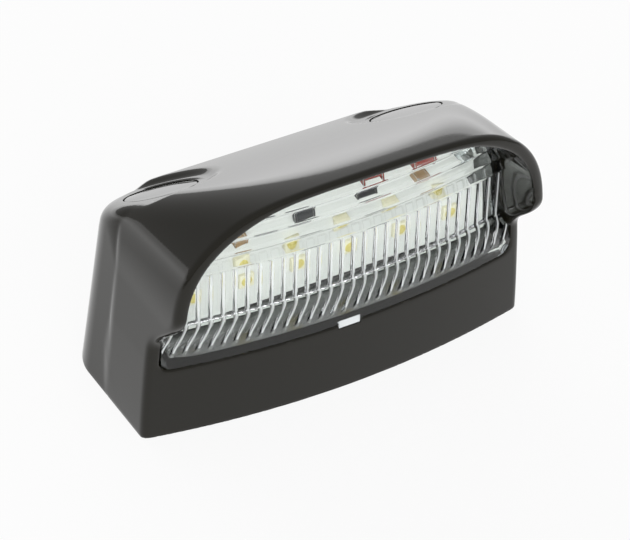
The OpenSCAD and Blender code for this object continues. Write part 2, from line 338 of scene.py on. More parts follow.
# Enamel over a resistor's fired body: a satin near-black.
CHIP_BLACK = MouldedPlastic("black_chip_resistor", "1C1C1C", roughness=0.35)
# Drawn glass: dark red with small sharp highlights.
DIODE_GLASS = MouldedPlastic("red_diode_glass", "8E2A1A", roughness=0.08)
# Fired ceramic: an even light brown, nearly matt.
CERAMIC = MouldedPlastic("brown_ceramic_capacitor", "A58459", roughness=0.4)
# Silicone gel filled with phosphor: a soft yellow pool with a wet gleam.
PHOSPHOR = MouldedPlastic("yellow_phosphor_gel", "DCCB6E", roughness=0.25)
# Tin from a plating bath: pale satin ends on every chip.
TIN = PlatedMetal("tin_plated_terminal")
# Acrylic from a polished mould: water-clear, seen by its edges and by what it bends.
CLEAR_LENS = ClearPlastic("clear_acrylic_lens")
# The crests of its ribs, which gather the light of the whole room: a less clear, rougher copy of the acrylic
# shows its whitish base colour, a painted highlight that draws each crest as a bright line.
RIB_CREST_PAINTED_HIGHLIGHT = ClearPlastic("acrylic_rib_crest_painted_highlight", roughness=0.2, clearness=0.35)


# Shared shapes


def smooth_max(a: np.ndarray, b: np.ndarray, k: float | np.ndarray) -> np.ndarray:
    """Join two distances by their larger one, rounded over a width of k mm."""
    h = np.clip(0.5 + 0.5 * (a - b) / k, 0.0, 1.0)
    return b * (1 - h) + a * h + k * h * (1 - h)


def smooth_min(a: np.ndarray, b: np.ndarray, k: float | np.ndarray) -> np.ndarray:
    """Join two distances by their smaller one, rounded over a width of k mm."""
    return -smooth_max(-a, -b, k)


def gradient(form: Callable[[np.ndarray], np.ndarray], points: np.ndarray, step: float = 0.02) -> np.ndarray:
    """Measure which way, and how fast, a form's value grows at each point.

    Args:
        form: gives a value for each row of an array of points.
        points: the points in mm.
        step: half the distance in mm over which it is measured.

    Returns:
        One vector per point.
    """
    grown = np.empty_like(points)
    for axis in range(3):
        shift = np.zeros(3)
        shift[axis] = step
        grown[:, axis] = (form(points + shift) - form(points - shift)) / (2 * step)
    return grown


def settle(form: Callable[[np.ndarray], np.ndarray], points: np.ndarray, rounds: int) -> np.ndarray:
    """Move points onto the surface where a form's value is nought.

    Args:
        form: gives a distance in mm for each point, below nought inside.
        points: the points in mm.
        rounds: how many steps each point takes.

    Returns:
        The moved points.
    """
    longest, flattest = 1.5, 0.05
    for _ in range(rounds):
        slope = gradient(form, points)
        steep = np.maximum((slope**2).sum(1), flattest)
        stride = np.clip(form(points) / steep, -longest, longest)
        points = points - slope * stride[:, None]
    return points


def ramp(value: np.ndarray, start: float, width: float) -> np.ndarray:
    """Give a share that grows from 0 at a start to 1 when the value is a width past it."""
    return np.clip((value - start) / width, 0, 1)


def corner_distance(x: np.ndarray, y: np.ndarray, r: float | np.ndarray) -> np.ndarray:
    """Give the distance to a round corner from points measured from its centre."""
    outside = np.hypot(np.maximum(x, 0), np.maximum(y, 0))
    return outside + np.minimum(np.maximum(x, y), 0) - r


def edge_points(
    form: Callable[[np.ndarray], np.ndarray], middle: np.ndarray, ways: np.ndarray
) -> np.ndarray:
    """Find by halving where a form's edge lies in each direction from a point inside it.

    Args:
        form: gives a distance in mm for each point, below nought inside.
        middle: the point inside, in mm.
        ways: one unit vector per direction.

    Returns:
        One point of the edge per direction, in mm.
    """
    nearest, farthest, halvings = 1.0, 70.0, 26
    low, high = np.full(len(ways), nearest), np.full(len(ways), farthest)
    for _ in range(halvings):
        reach = (low + high) / 2
        points = middle + ways * reach[:, None]
        inside = form(points) < 0
        low, high = np.where(inside, reach, low), np.where(inside, high, reach)
    return points


def put(vertices: Iterable[bmesh.types.BMVert], points: np.ndarray) -> None:
    """Move vertices to points of the drawings."""
    for vertex, place in zip(vertices, to_metres(points), strict=True):
        vertex.co = place


def only_verts(geometry: Iterable[object]) -> list[bmesh.types.BMVert]:
    """Pick the vertices from what an operator made."""
    return [g for g in geometry if isinstance(g, bmesh.types.BMVert)]


def sheet(columns: int, rows: int) -> tuple[bmesh.types.BMesh, np.ndarray, np.ndarray]:
    """Start a net of faces, and tell where in it each vertex stands.

    Args:
        columns: the number of vertices across.
        rows: the number of vertices up.

    Returns:
        The net, then each vertex's column, then its row.
    """
    shape = bmesh.new()
    bmesh.ops.create_grid(shape, x_segments=columns - 1, y_segments=rows - 1, size=0.5)
    grid = np.array([v.co for v in shape.verts]) + 0.5
    column = np.rint(grid[:, 0] * (columns - 1)).astype(int)
    return shape, column, np.rint(grid[:, 1] * (rows - 1)).astype(int)


def piece_of(name: str, mesh: bmesh.types.BMesh, *finishes: bpy.types.Material) -> bpy.types.Object:
    """Turn a bmesh into an object of the scene.

    Args:
        name: the piece's name.
        mesh: its shape, which is freed.
        finishes: its materials in order, or none for what only cuts.

    Returns:
        The new object, smooth-shaded.
    """
    data = bpy.data.meshes.new(name)
    mesh.to_mesh(data)
    mesh.free()
    for finish in finishes:
        data.materials.append(finish)
    data.shade_smooth()
    made = bpy.data.objects.new(name, data)
    bpy.context.scene.collection.objects.link(made)
    return made


def apply_modifiers(piece: bpy.types.Object) -> None:
    """Write a piece's modifiers into its mesh and remove them.

    Args:
        piece: the object, which gets a new mesh.
    """
    graph = bpy.context.evaluated_depsgraph_get()
    finished = bpy.data.meshes.new_from_object(piece.evaluated_get(graph))
    old = piece.data
    piece.modifiers.clear()
    piece.data = finished
    bpy.data.meshes.remove(old)


def remesh(piece: bpy.types.Object, voxel_mm: float) -> None:
    """Give a piece an even net of faces by Blender's voxel remesh.

    Args:
        piece: the object.
        voxel_mm: the net's width in mm.
    """
    change = piece.modifiers.new("even_net", "REMESH")
    change.mode = "VOXEL"
    change.voxel_size = voxel_mm * MM
    apply_modifiers(piece)


def drum(
    name: str, radius: float, low: float, high: float, place: Matrix, sides: int = 64
) -> bpy.types.Object:
    """Make a round bar that the booleans use.

    Args:
        name: the bar's name.
        radius: its radius in mm.
        low: where it starts along its axis, in mm.
        high: where it ends along its axis, in mm.
        place: its frame in metres, whose Z is its axis.
        sides: the number of its sides.

    Returns:
        The bar.
    """
    shape = bmesh.new()
    bmesh.ops.create_cone(
        shape,
        cap_ends=True,
        segments=sides,
        radius1=radius * MM,
        radius2=radius * MM,
        depth=(high - low) * MM,
        matrix=place @ Matrix.Translation((0, 0, (low + high) / 2 * MM)),
    )
    return piece_of(name, shape)


def spot(x: float, y: float, z: float) -> Matrix:
    """Give the frame, in the row's metres, that stands at a point of the drawings."""
    return Matrix.Translation(to_metres(np.array([x, y, z])).tolist())


def cut(piece: bpy.types.Object, cutter: bpy.types.Object, operation: str = "DIFFERENCE") -> None:
    """Cut a piece with another object, which is removed.

    Args:
        piece: what is cut.
        cutter: what it is cut with.
        operation: the boolean's name.
    """
    change = piece.modifiers.new("cut", "BOOLEAN")
    change.operation = operation
    change.solver = "EXACT"
    change.object = cutter
    apply_modifiers(piece)
    bpy.data.objects.remove(cutter)


# Housing


@dataclass
class Housing:
    """The one black moulding: hood, end walls, apron and the two corner columns.

    Sizes are in mm and slopes in degrees, in the drawings' frame: y = 0 joins the base's front corners.
    """

    # Base: half its length, the bow of its front, its depth and the rounding of its rear corners
    half: float = 45.0
    bow: float = 5.0
    depth: float = 35.8
    corner_r: float = 12.0
    # Arch of the hood, and how much it closes in over its run from the hood's mouth back
    spring_x: float = 43.0
    spring_z: float = 32.0
    hood_z: float = 63.4
    arch_n: float = 2.5
    wall_power: float = 1.3
    wall_fade: float = 3.0
    mouth_y: float = -14.8
    arch_run: float = 37.2
    foot_in: float = 1.2
    rise_drop: float = 5.5
    # Front, which sweeps out from the apron into the hood
    hood_out: float = 8.8
    sweep_z: float = 23.0
    sweep_h: float = 13.5
    # Top between the caps, with its slight crown
    top_slope: float = 28.5
    crown: float = 1.3
    crown_drop: float = 0.4
    crown_y: float = 10.0
    crown_half: float = 25.0
    # Flats round the caps, and the dished pocket over each
    flat_slope: float = 31.5
    flat_run: float = 12.4
    ledge_z: float = 42.3
    ledge_r: float = 12.4
    well_x: float = 28.8
    wall_under: float = 4.2
    pocket_r: float = 11.6
    pocket_draft: float = 25.0
    pocket_wide: float = 0.6
    # Window
    lip: float = 2.3
    sill_z: float = 17.0
    cup_back: float = 10.2
    window_z: float = 30.0
    # Roundings between the parts above
    front_round: float = 1.4
    foot_round: float = 0.5
    lip_round: float = 0.8
    window_round: float = 2.0
    sill_round: float = 3.0
    flat_round: float = 4.5
    top_round: float = 4.0
    back_round: float = 2.0
    side_round: float = 1.0
    pocket_round: float = 0.9
    dish_round: float = 2.4
    least_round: float = 0.1
    joint_round: float = 1.1
    # How far the hood stands off the columns behind it: out at its arch and top, in at its back
    arch_out: float = 0.35
    top_out: float = 0.1
    back_in: float = 1.3
    # At the sides: out ahead of the caps, in where both distances below are passed
    side_slack: float = 2.0
    side_tuck: float = 3.0
    tuck_x: float = 24.0
    tuck_y: float = 14.0
    # Ways over which these run in: up the wall, along the side, across it, and out of a pocket
    rise_run: float = 20.0
    side_run: float = 10.0
    tuck_run: float = 6.0
    joint_run: float = 4.0
    # Cut from below and above: rebate, screw wells, seats of the caps, notch in the sill
    rebate_in: float = 1.4
    rebate_z: float = 2.8
    well_r: float = 5.2
    well_wall: float = 1.8
    well_floor: float = 4.0
    screw_r: float = 2.4
    seat_r: float = 7.85
    seat_h: float = 3.6
    notch_w: float = 5.2
    notch_d: float = 10.0
    notch_h: float = 2.0
    # Net of faces that the form is drawn on, and how sharp an edge stays unsmoothed
    voxel: float = 0.5
    sharp: float = 35.0
    bow_r: float = field(init=False)
    bow_cy: float = field(init=False)

    def __post_init__(self) -> None:
        """Work out the front's arc from its bow."""
        self.bow_r = (self.half**2 + self.bow**2) / (2 * self.bow)
        self.bow_cy = self.bow_r - self.bow

    def swept(self, z: np.ndarray) -> np.ndarray:
        """Give how far the front stands ahead of the apron at each height."""
        return self.hood_out * (1 - np.cos(math.pi * ramp(z, self.sweep_z, self.sweep_h))) / 2

    def arch_value(self, p: np.ndarray) -> np.ndarray:
        """Give a value that is nought on the hood's arch, which falls and narrows toward the back.

        Args:
            p: the points in mm.

        Returns:
            The value, below nought under the arch. It isn't a distance yet.
        """
        back = np.clip((p[:, 1] - self.mouth_y) / self.arch_run, -0.3, 1.4)
        foot = self.spring_x - self.foot_in * back
        spring = self.spring_z - back
        rise = self.hood_z - self.spring_z - self.rise_drop * back
        part = np.clip(p[:, 2] / spring, 0, 1)
        wide = self.half - (self.half - foot) * part**self.wall_power
        over = np.maximum(p[:, 2] - spring, 0)
        fade = (self.half - foot) * self.wall_power / spring
        wide = wide - fade * self.wall_fade * (1 - np.exp(-over / self.wall_fade))
        n = self.arch_n
        return ((np.abs(p[:, 0]) / wide) ** n + (over / rise) ** n) ** (1 / n) - 1

    def arch(self, p: np.ndarray) -> np.ndarray:
        """Give the distance to the hood's arch.

        Args:
            p: the points in mm.

        Returns:
            The distance in mm, below nought under the arch.
        """
        flattest = 0.008
        slope = np.linalg.norm(gradient(self.arch_value, p, 0.05), axis=1)
        return self.arch_value(p) / np.maximum(slope, flattest)

    def front(self, p: np.ndarray) -> np.ndarray:
        """Give the distance to the bowed front, which sweeps out into the hood.

        Args:
            p: the points in mm.

        Returns:
            The distance in mm, below nought behind the front.
        """
        reach = np.hypot(p[:, 0], p[:, 1] - self.bow_cy)
        part = ramp(p[:, 2], self.sweep_z, self.sweep_h)
        slant = self.hood_out * math.pi / (2 * self.sweep_h) * np.sin(math.pi * part)
        return (reach - self.bow_r - self.swept(p[:, 2])) / np.sqrt(1 + slant**2)

    def flats(self, p: np.ndarray) -> np.ndarray:
        """Give the height over the sloping flats round the caps."""
        slope = math.radians(self.flat_slope)
        return (p[:, 2] - self.ledge_z) * math.cos(slope) + (p[:, 1] - WELL_Y) * math.sin(slope)

    def pocket(self, p: np.ndarray) -> tuple[np.ndarray, np.ndarray]:
        """Give the distance to the dished space over each flat, and how far round the cap a point is.

        Args:
            p: the points in mm.

        Returns:
            The distance in mm, below nought in the space, and the distance from the cap's axis, which
            grows more slowly toward the lamp's ends, so that the space runs out over them.
        """
        slope, draft = math.radians(self.flat_slope), math.radians(self.pocket_draft)
        along = (p[:, 1] - WELL_Y) * math.cos(slope) - (p[:, 2] - self.ledge_z) * math.sin(slope)
        beside = np.abs(p[:, 0]) - self.well_x
        reach = np.hypot(np.where(beside > 0, self.pocket_wide * beside, beside), along)
        over = self.flats(p)
        wall = (reach - self.pocket_r - over * math.tan(draft)) * math.cos(draft)
        return smooth_max(-over, wall, self.dish_round), reach

    def land(self, p: np.ndarray, crown: float = 0.0) -> np.ndarray:
        """Give the height over the top between the caps, which meets the flats where they run out.

        Args:
            p: the points in mm.
            crown: how far the middle of the top bulges over a flat one, in mm.

        Returns:
            The height in mm.
        """
        slope = math.radians(self.top_slope)
        meet_y = WELL_Y - self.flat_run
        meet_z = self.ledge_z + self.flat_run * math.tan(math.radians(self.flat_slope))
        part = np.clip((p[:, 1] - self.crown_y) / self.crown_half, -1.3, 1.3)
        bulge = crown * (1 - self.crown_drop - part**2)
        return (p[:, 2] - meet_z) * math.cos(slope) + (p[:, 1] - meet_y) * math.sin(slope) - bulge

    def plan_ends(self, p: np.ndarray) -> tuple[np.ndarray, np.ndarray]:
        """Give the distances to the plan's rear end and front end, which close in with height.

        Args:
            p: the points in mm.

        Returns:
            The distance to the sides with the rear corners, and to the sides with the front ones.
        """
        lowest, sharpest = 10.0, 0.01
        x, y, z = np.abs(p[:, 0]), p[:, 1], p[:, 2]
        high = self.ledge_z - (y - WELL_Y) * math.tan(math.radians(self.flat_slope))
        t = np.clip(z / np.maximum(high - self.wall_under, lowest), 0, 1)
        side = self.half + (self.well_x + self.ledge_r - self.half) * t
        back = self.depth + (WELL_Y + self.ledge_r - self.depth) * t
        rear_r = self.corner_r + (self.ledge_r - self.corner_r) * t
        ahead_r = np.maximum(self.ledge_r * t, sharpest)
        rear = corner_distance(x - (side - rear_r), y - (back - rear_r), rear_r)
        return rear, corner_distance(x - (side - ahead_r), WELL_Y * t - y, ahead_r)

    def body(self, p: np.ndarray, arch: np.ndarray) -> np.ndarray:
        """Give the distance to the hood joined to the two corner columns behind it.

        Args:
            p: the points in mm.
            arch: their distance to the arch.

        Returns:
            The distance in mm, below nought inside.
        """
        rear, ahead = self.plan_ends(p)
        columns = smooth_max(np.maximum(rear, ahead), self.flats(p), self.flat_round)
        rise = ramp(p[:, 2], 0, self.rise_run)
        top = self.land(p, self.crown) - self.top_out
        shell = smooth_max(arch - self.arch_out * rise, top, self.top_round)
        shell = smooth_max(shell, p[:, 1] - (self.depth - self.back_in), self.back_round)
        slack = self.side_slack * np.clip((WELL_Y - p[:, 1]) / self.side_run, 0, 1)
        outer = ramp(np.abs(p[:, 0]), self.tuck_x, self.tuck_run)
        slack = slack - self.side_tuck * outer * ramp(p[:, 1], self.tuck_y, self.side_run)
        shell = smooth_max(shell, rear - slack, self.side_round)
        pocket, reach = self.pocket(p)
        shell = smooth_max(shell, -pocket, self.pocket_round)
        outside = ramp(reach, self.pocket_r, self.joint_run)
        return smooth_min(shell, columns, self.least_round + self.joint_round * rise * outside)

    def window(self, p: np.ndarray, arch: np.ndarray) -> np.ndarray:
        """Give the distance to the way that the lens goes in by, which has no end here."""
        inside = smooth_max(arch, self.land(p), self.window_round) + self.lip
        return smooth_max(inside, self.sill_z - p[:, 2], self.sill_round)

    def form(self, p: np.ndarray) -> np.ndarray:
        """Give the distance to the whole moulding, with its edges rounded.

        Args:
            p: the points in mm.

        Returns:
            The distance in mm, below nought inside.
        """
        arch = self.arch(p)
        body = smooth_max(self.body(p, arch), self.front(p), self.front_round)
        body = smooth_max(body, -p[:, 2], self.foot_round)
        window = np.maximum(self.window(p, arch), p[:, 1] - self.cup_back)
        return smooth_max(body, -window, self.lip_round)

    def window_block(
        self, name: str, inset: float, stations: Iterable[float], sides: int
    ) -> bpy.types.Object:
        """Loft a solid that fills the window, from its front back.

        Args:
            name: the solid's name.
            inset: how far it stays clear of the window's walls, in mm.
            stations: the distances back, in mm, at which its outline is worked out.
            sides: the number of points in the outline.

        Returns:
            The solid.
        """
        block = bmesh.new()
        bmesh.ops.create_circle(block, cap_ends=True, segments=sides, radius=1.0)
        turns = np.array([math.atan2(v.co.y, v.co.x) for v in block.verts])
        ways = np.column_stack([np.cos(turns), turns * 0, np.sin(turns)])
        ring, cap = list(block.verts), block.faces[:]
        for step, y in enumerate(stations):
            if step:
                grown = bmesh.ops.extrude_face_region(block, geom=cap)["geom"]
                if step > 1:
                    bmesh.ops.delete(block, geom=cap, context="FACES_ONLY")
                cap = [g for g in grown if isinstance(g, bmesh.types.BMFace)]
                where = {tuple(v.co): k for k, v in enumerate(ring)}
                ring = sorted(only_verts(grown), key=lambda v: where[tuple(v.co)])
            middle = np.array([0.0, y, self.window_z])
            put(ring, edge_points(lambda p: self.window(p, self.arch(p)) + inset, middle, ways))
        bmesh.ops.recalc_face_normals(block, faces=block.faces)
        return piece_of(name, block)

    def ahead(self) -> bpy.types.Object:
        """Make the solid of all that lies ahead of the swept front.

        Returns:
            The solid.
        """
        low, high, far, half_turn = -5.0, 90.0, -80.0, 0.32
        bends = np.linspace(self.sweep_z, self.sweep_z + self.sweep_h, 25)
        heights = np.concatenate([[low], bends, [high]])
        turns = np.linspace(-half_turn, half_turn, 61)
        shape, column, row = sheet(len(turns), len(heights))
        turn, z = turns[column], heights[row]
        reach = self.bow_r + self.swept(z)
        points = np.column_stack([np.sin(turn) * reach, self.bow_cy - np.cos(turn) * reach, z])
        put(shape.verts, points)
        grown = bmesh.ops.extrude_face_region(shape, geom=shape.faces[:])["geom"]
        for vertex in only_verts(grown):
            vertex.co.y = far * MM
        bmesh.ops.recalc_face_normals(shape, faces=shape.faces)
        return piece_of("ahead", shape)

    def rough(self) -> bpy.types.Object:
        """Make the rough block that the form is drawn on: a hull with the window cut out.

        Returns:
            The block, in the housing's material.
        """
        source = bpy.data.objects["housing"].data
        block = bmesh.new()
        for vertex in source.vertices:
            block.verts.new(vertex.co)
        # Vertices that nearly coincide would leave slivers on the hull, which the booleans can't cut.
        apart = 0.6
        bmesh.ops.remove_doubles(block, verts=block.verts, dist=apart * MM)
        made = bmesh.ops.convex_hull(block, input=block.verts)
        spare = set(only_verts(made["geom_interior"] + made["geom_unused"]))
        bmesh.ops.delete(block, geom=list(spare), context="VERTS")
        bmesh.ops.recalc_face_normals(block, faces=block.faces)
        piece = piece_of("housing_form", block, GLOSS_BLACK.build())
        cut(piece, self.ahead())
        stations = (-25.0, -14.0, -8.0, -4.0, 0.0, 4.0, self.cup_back)
        cut(piece, self.window_block("opening", 0.0, stations, 128))
        return piece

    def ledge(self, side: float) -> Matrix:
        """Give the frame that lies in the flat round a cap, square to it."""
        return spot(side * self.well_x, WELL_Y, self.ledge_z) @ Matrix.Rotation(
            -math.radians(self.flat_slope), 4, "X"
        )

    def base_block(self) -> bpy.types.Object:
        """Make the block that the base plate and its seal drop into.

        Returns:
            The block, which starts a little below the base.
        """
        shape = bmesh.new()
        bmesh.ops.create_circle(shape, cap_ends=True, segments=160, radius=1.0)
        turns = np.array([math.atan2(v.co.y, v.co.x) for v in shape.verts])
        ways = np.column_stack([np.cos(turns), np.sin(turns), turns * 0])
        middle_y, below = 15.0, 1.0
        points = edge_points(
            lambda p: np.maximum(self.plan_ends(p)[0], self.front(p)) + self.rebate_in,
            np.array([0.0, middle_y, 0.0]),
            ways,
        )
        points[:, 2] = -below
        put(shape.verts, points)
        grown = bmesh.ops.extrude_face_region(shape, geom=shape.faces[:])["geom"]
        rise = (0, 0, (self.rebate_z + below) * MM)
        bmesh.ops.translate(shape, vec=rise, verts=only_verts(grown))
        bmesh.ops.recalc_face_normals(shape, faces=shape.faces)
        return piece_of("rebate", shape)

    def spaces(self) -> bpy.types.Object:
        """Make the solid of what the seats, the wells, the base rebate and the sill's notch leave empty.

        Returns:
            The solid.
        """
        low, tube_top, hole_top, well_top, seat_top = -5.0, 10.0, 6.0, 41.0, 12.0
        block = self.base_block()
        for side in (-1.0, 1.0):
            foot = spot(side * self.well_x, WELL_Y, 0)
            cut(block, drum("tube", self.well_r + self.well_wall, low, tube_top, foot))
            hole = drum("hole", self.screw_r, low, hole_top, foot, 48)
            cut(hole, drum("well", self.well_r, self.well_floor, well_top, foot), "UNION")
            cut(hole, drum("seat", self.seat_r, -self.seat_h, seat_top, self.ledge(side), 128), "UNION")
            cut(block, hole, "UNION")
        notch = bmesh.new()
        bmesh.ops.create_cube(notch, size=1.0)
        size = Vector((self.notch_w, self.notch_d, self.notch_h)) * MM
        bmesh.ops.scale(notch, vec=size, verts=notch.verts)
        bmesh.ops.translate(notch, vec=spot(0, -self.bow, self.sill_z).translation, verts=notch.verts)
        cut(block, piece_of("notch", notch), "UNION")
        return block

    def build(self) -> bpy.types.Object:
        """Make the moulding.

        Returns:
            The piece that replaces the housing's node.
        """
        piece = self.rough()
        remesh(piece, self.voxel)
        shape = bmesh.new()
        shape.from_mesh(piece.data)
        shape.verts.ensure_lookup_table()
        for turn, rounds in enumerate((6, 2, 2, 6)):
            if turn:
                bmesh.ops.smooth_vert(
                    shape, verts=shape.verts, factor=0.5, use_axis_x=True, use_axis_y=True, use_axis_z=True
                )
            points = to_drawing(np.array([v.co for v in shape.verts]))
            put(shape.verts, settle(self.form, points, rounds))
        shape.to_mesh(piece.data)
        shape.free()
        cut(piece, self.spaces())
        piece.data.shade_smooth()
        piece.data.set_sharp_from_angle(angle=math.radians(self.sharp))
        log.info("housing: %d faces", len(piece.data.polygons))
        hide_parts("housing")
        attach(piece, "root")
        return piece


# Lens


@dataclass
class Lens:
    """The clear moulding: a plain foot, a rounded shoulder, upright ribs and a ridged crown.

    Sizes are in mm and slopes in degrees, in the drawings' frame.
    """

    housing: Housing
    # Fit in the window, wall, and how far back the face and the skirt's end lie
    gap: float = 0.12
    thick: float = 1.6
    face: float = 0.15
    skirt_back: float = 10.05
    hollow_over: float = 2.0
    # Face from its foot up: plain band, shoulder with a small heel, upright part, leaning crown
    foot_z: float = 14.0
    band_top: float = 20.2
    band_edge: float = 0.4
    shoulder_r: float = 4.0
    shoulder_turn: float = 72.0
    heel_r: float = 1.0
    heel_turn: float = 24.0
    crown_z: float = 36.0
    crown_out: float = 0.75
    crown_lean: float = 8.0
    crown_edge: float = 0.15
    top_z: float = 68.0
    top_back: float = 1.6
    inner_back: float = 4.3
    # Long ridges over the crown: each one's height, reach, and shape as shares of the two
    ridges: int = 5
    ridge_h: float = 3.1
    ridge_out: float = 0.85
    ridge_shape: tuple[tuple[float, float], ...] = (
        (0.05, 0.0),
        (0.22, 0.5),
        (0.34, 0.92),
        (0.42, 1.0),
        (0.5, 0.94),
        (0.95, 0.12),
    )
    # Upright ribs, which lean to one end as they roll over the shoulder
    ribs: int = 31
    rib_pitch: float = 2.7
    rib_half: float = 0.55
    rib_out: float = 0.5
    rib_lean: float = 4.2
    rib_fade: float = 14.0
    rib_end: float = 4.0
    rib_edge: float = 0.06
    # How far up and across a rib a face must lie to take the crests' painted highlight
    painted_highlight_share: float = 0.9
    # Locating pegs and the tongue in the sill's notch
    peg_x: float = 31.0
    peg_y: float = 5.85
    peg_z: float = 43.0
    peg_r: float = 2.2
    peg_length: float = 3.4
    tongue_w: float = 4.9
    tongue_low: float = 16.15
    tongue_high: float = 18.0
    sharp: float = 38.0

    def profile(self, inner: bool) -> np.ndarray:
        """Draw the face's section, from its foot up.

        Args:
            inner: True for the plain inner face, False for the outer one.

        Returns:
            Rows of distance back, height, and how much of a rib stands there.
        """
        t = self.thick if inner else 0.0
        back, r = self.face + self.shoulder_r, self.shoulder_r - t
        rows = [(self.face + t, self.foot_z, 0.0), (self.face + t, self.band_top - self.band_edge, 0.0)]
        for turn in np.linspace(0, self.shoulder_turn, 6 if inner else 15):
            a = math.radians(turn)
            rib = min(1.0, turn / self.rib_fade)
            rows.append((back - r * math.cos(a), self.band_top + r * math.sin(a), rib))
        heel_z = self.band_top + r
        if inner:
            rows += [(back + t, heel_z, 0), (back + t, self.crown_z, 0)]
            rows.append((back + t + self.inner_back, self.top_z, 0))
            return np.array(rows)
        h = self.heel_r
        for turn in np.linspace(self.heel_turn, 90, 6):
            a = math.radians(turn)
            rows.append((back - h + h * math.sin(a), heel_z + h - h * math.cos(a), 1.0))
        rows += [(back, self.crown_z - self.rib_end, 1.0), (back, self.crown_z - self.rib_edge, 1.0)]
        rows.append((back - self.crown_out + self.crown_edge, self.crown_z, 0.0))
        for k in range(self.ridges):
            low = self.crown_z + k * self.ridge_h
            for rise, out in self.ridge_shape:
                z = low + rise * self.ridge_h
                lean = (z - self.crown_z) * math.tan(math.radians(self.crown_lean))
                rows.append((back - self.crown_out + lean - out * self.ridge_out, z, 0.0))
        rows.append((rows[-1][0] + self.top_back, self.top_z, 0.0))
        return np.array(rows)

    def across(self, inner: bool) -> tuple[np.ndarray, np.ndarray]:
        """Give the places across the lens, along its bow, and how far a rib stands out at each.

        Args:
            inner: True for the plain inner face, False for the outer one.

        Returns:
            The distances along the bow in mm, and the rib's height as a share of its own.
        """
        if inner:
            reach = 50.0
            along = np.linspace(-reach, reach, 81)
            return along, np.zeros_like(along)
        steps = np.array([-1.0, -0.92, -0.72, -0.4, 0.0, 0.4, 0.72, 0.92, 1.0]) * self.rib_half
        steps = np.append(steps, np.array([0.35, 0.5, 0.65]) * self.rib_pitch)
        share = np.sqrt(np.clip(1 - (steps / self.rib_half) ** 2, 0, None))
        spare = 3
        centres = (np.arange(-spare, self.ribs + spare) - (self.ribs - 1) / 2) * self.rib_pitch
        return (centres[:, None] + steps).ravel(), np.tile(share, len(centres))

    def slab(self, name: str, inner: bool) -> bpy.types.Object:
        """Make a solid whose front is one of the lens's faces and whose back is flat.

        Args:
            name: the solid's name.
            inner: True for the plain inner face, False for the outer one.

        Returns:
            The solid.
        """
        rows, (along, share) = self.profile(inner), self.across(inner)
        shape, column, row = sheet(len(along), len(rows))
        slant = np.gradient(rows[:, :2], axis=0)
        slant /= np.linalg.norm(slant, axis=1)[:, None]
        out = share[column] * rows[row, 2] * self.rib_out
        back = rows[row, 0] - out * slant[row, 1]
        z = rows[row, 1] + out * slant[row, 0]
        lean = self.rib_lean * (1 - ramp(rows[:, 1], self.band_top, self.shoulder_r) ** 2) * (not inner)
        turn = (along[column] - lean[row]) / self.housing.bow_r
        reach = self.housing.bow_r - back
        points = np.column_stack([np.sin(turn) * reach, self.housing.bow_cy - np.cos(turn) * reach, z])
        put(shape.verts, points)
        # Faces over the ribs' crests take the second material, which paints a highlight along each crest.
        painted_highlight = np.minimum(share[column], rows[row, 2]) > self.painted_highlight_share
        for face in shape.faces:
            face.material_index = int(all(painted_highlight[v.index] for v in face.verts))
        flat = np.full(len(column), self.skirt_back + (self.hollow_over if inner else 0.0))
        behind = to_metres(np.column_stack([along[column], flat, rows[row, 1]]))
        where = {tuple(v.co): k for k, v in enumerate(shape.verts)}
        grown = bmesh.ops.extrude_face_region(shape, geom=shape.faces[:])["geom"]
        for vertex in only_verts(grown):
            vertex.co = behind[where[tuple(vertex.co)]]
        bmesh.ops.recalc_face_normals(shape, faces=shape.faces)
        return piece_of(name, shape, CLEAR_LENS.build(), RIB_CREST_PAINTED_HIGHLIGHT.build())

    def tongue(self) -> bpy.types.Object:
        """Make the tongue that drops into the notch of the sill.

        Returns:
            The tongue, all in the ribs' material with the painted highlight, which shows it as a bright bar.
        """
        half, front = self.tongue_w / 2, self.face - self.housing.bow
        low = spot(-half, front, self.tongue_low).translation
        high = spot(half, front + self.thick, self.tongue_high).translation
        shape = bmesh.new()
        bmesh.ops.create_cube(shape, size=1.0)
        bmesh.ops.scale(shape, vec=high - low, verts=shape.verts)
        bmesh.ops.translate(shape, vec=(high + low) / 2, verts=shape.verts)
        # Every face of the tongue takes the painted highlight of the crests.
        for face in shape.faces:
            face.material_index = 1
        return piece_of("tongue", shape, CLEAR_LENS.build(), RIB_CREST_PAINTED_HIGHLIGHT.build())

    def peg(self, side: float) -> bpy.types.Object:
        """Make one locating peg, which stands on the lens's inner face and ends at the board."""
        place = spot(side * self.peg_x, self.peg_y, self.peg_z) @ Matrix.Rotation(math.pi / 2, 4, "X")
        return drum("peg", self.peg_r, -self.peg_length / 2, self.peg_length / 2, place, 48)

    def build(self) -> bpy.types.Object:
        """Make the lens.

        Returns:
            The piece that replaces the lens's node.
        """
        stations = (-18.0, -12.0, -8.0, -4.0, 0.0, 4.0, 8.0, 14.0)
        piece = self.slab("clear_lens", inner=False)
        cut(piece, self.housing.window_block("lens_outside", self.gap, stations, 160), "INTERSECT")
        hollow = self.slab("lens_hollow", inner=True)
        inside = self.housing.window_block("lens_inside", self.gap + self.thick, stations, 120)
        cut(hollow, inside, "INTERSECT")
        cut(piece, hollow)
        for side in (-1.0, 1.0):
            cut(piece, self.peg(side), "UNION")
        cut(piece, self.tongue(), "UNION")
        piece.data.shade_smooth()
        piece.data.set_sharp_from_angle(angle=math.radians(self.sharp))
        log.info("lens: %d faces", len(piece.data.polygons))
        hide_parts("lens")
        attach(piece, "root")
        return piece


# Screw caps


